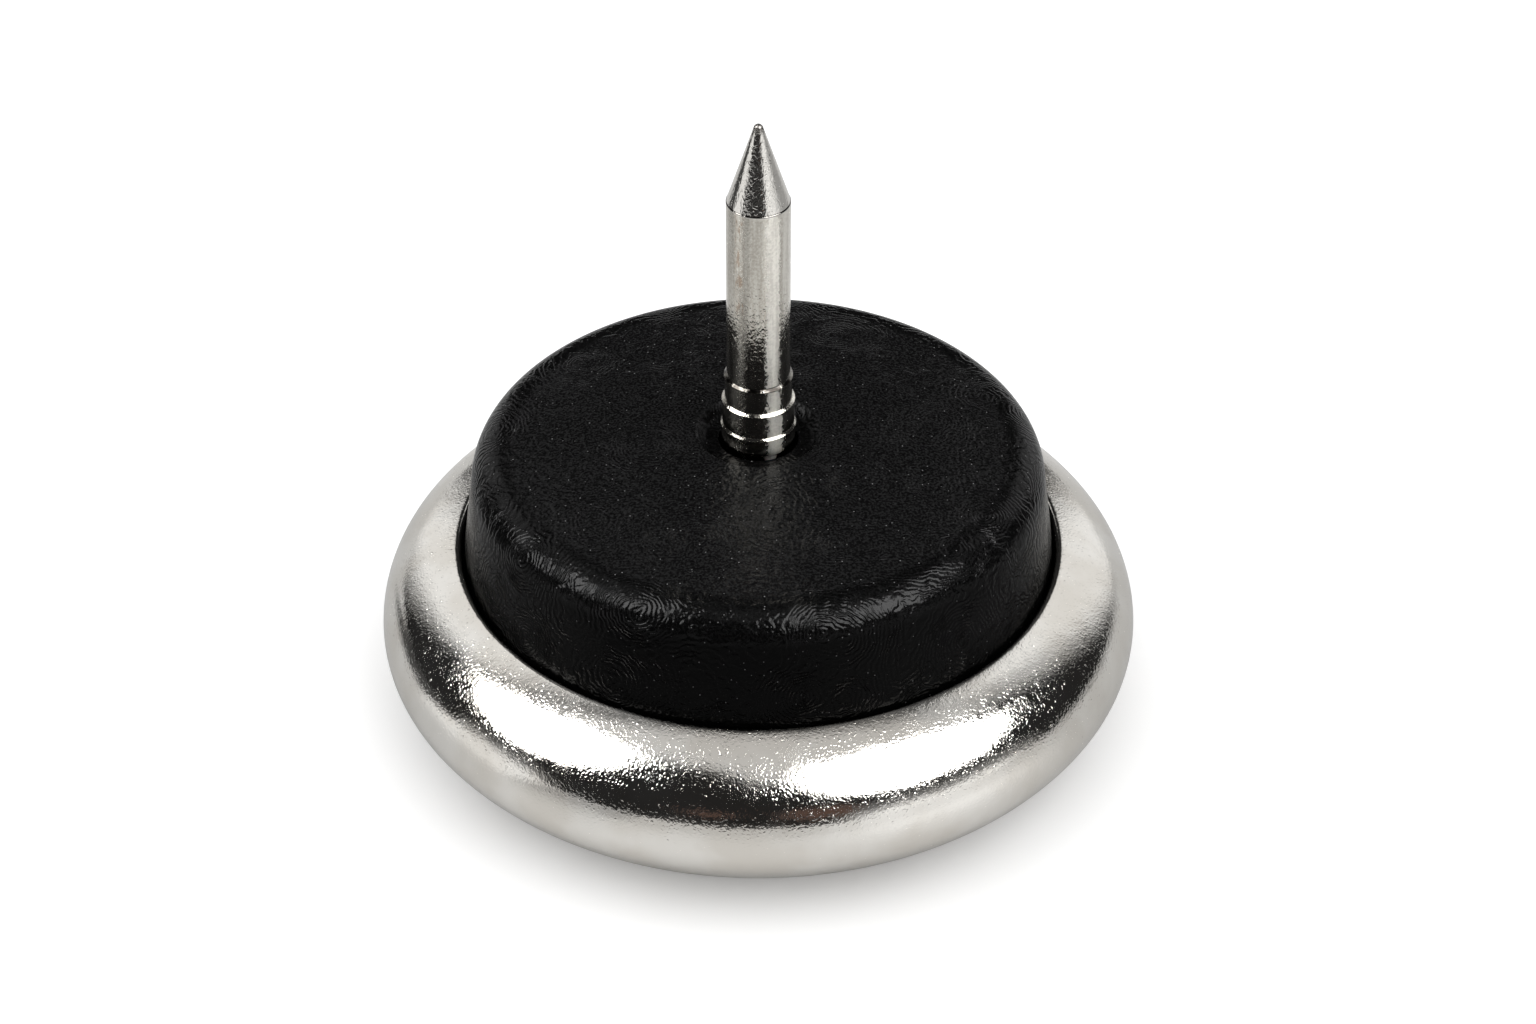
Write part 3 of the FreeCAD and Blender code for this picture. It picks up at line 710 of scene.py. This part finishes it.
def studio_floor():
    mesh = bmesh.new()
    bmesh.ops.create_grid(mesh, x_segments=1, y_segments=1, size=FLOOR_HALF)
    data = bpy.data.meshes.new("floor")
    mesh.to_mesh(data)
    mesh.free()
    floor = bpy.data.objects.new("floor", data)
    bpy.context.scene.collection.objects.link(floor)
    finish = Finish("floor_white", Roughness=0.5)
    finish.set("Specular IOR Level", 0.0)
    rays = finish.add("LightPath")
    seen = finish.signal(rays, "Is Camera Ray")
    mirrored = finish.signal(rays, "Is Glossy Ray")
    right, away = finish.axes[:2]
    azimuth = right.degrees_from(away)
    reach = (right ** 2 + away ** 2) ** 0.5

    # In reflections: painted light below the softboxes, painted shade at the sides and the far
    # left
    right_wedge = reach.rise(18, 30) * azimuth.band(138, 30, 0.3, 1.2)
    left_wedge = reach.rise(22, 42) * azimuth.band(-107, 17, 0.8, 1.15)
    corner = reach.rise(20, 60) * azimuth.band(-72, 17, 0.7, 1.2)
    sides = azimuth.size().rise(20, 50) * (1 - azimuth.size().rise(95, 150))
    right_side = reach.rise(25, 100) * azimuth.rise(30, 60) * (1 - azimuth.rise(90, 112))
    gap = reach.rise(14, 50) * azimuth.band(-135, 17, 0.6, 1.3)
    front_edge = reach.rise(120, 350) * azimuth.size().rise(142, 156)
    dark = (0.92 * corner.most(front_edge)).most(0.27 * sides).most(0.2 * reach.rise(20, 45))
    shade = 1 - mirrored * dark.most(0.55 * right_side).most(0.48 * gap)
    level = (FLOOR_TONE + (1 - FLOOR_TONE) * seen) * shade
    finish.set("Base Color", finish.blend(level, BLACK, WHITE))
    glow = FLOOR_LIFT * seen + mirrored * (0.3 * right_wedge + 0.35 * left_wedge)
    finish.set("Emission Color", finish.blend(glow, BLACK, WHITE))
    finish.set("Emission Strength", 1.0)
    data.materials.append(finish.material)


# Camera: the photograph's frame and viewing angle

FRAME_WIDTH = 1536
CAMERA_ELEVATION = 37.87
CAMERA_DISTANCE = 200.0
GLIDE_PIXELS = 23.38         # one millimetre at the glide's middle
GLIDE_LEFT = 9.6             # pixels from the frame's middle to the glide's
GLIDE_DOWN = 96.87
SENSOR_WIDTH = 36.0


def photograph_camera():
    lens = bpy.data.cameras.new("camera")
    lens.sensor_width = SENSOR_WIDTH
    lens.lens = GLIDE_PIXELS * CAMERA_DISTANCE * lens.sensor_width / FRAME_WIDTH
    lens.shift_x = GLIDE_LEFT / FRAME_WIDTH
    lens.shift_y = GLIDE_DOWN / FRAME_WIDTH
    lens.clip_start = 0.01
    camera = bpy.data.objects.new("camera", lens)
    way = sky_direction(180.0, CAMERA_ELEVATION)
    camera.location = Vector((0, 0, Rim.height * MM)) + way * CAMERA_DISTANCE * MM
    camera.rotation_euler = (math.radians(90 - CAMERA_ELEVATION), 0, 0)
    bpy.context.scene.collection.objects.link(camera)
    bpy.context.scene.camera = camera


def dress(piece, node, material):
    piece.data.materials.append(material)
    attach(piece, "root")
    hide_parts(node)


dress(turned_shell(), "glide_shell", nickel_plate())
dress(turned_cushion(), "cushion", black_rubber())
dress(turned_nail(), "nail", nail_steel())
studio_floor()
studio_world()
side_lamp("left lamp", azimuth=-95.0, elevation=44.0, width=62.0, height=38.0, brightness=0.8)
side_lamp("right lamp", azimuth=122.0, elevation=49.0, width=72.0, height=42.0, brightness=0.8)
photograph_camera()
bpy.context.scene.view_settings.view_transform = "Standard"
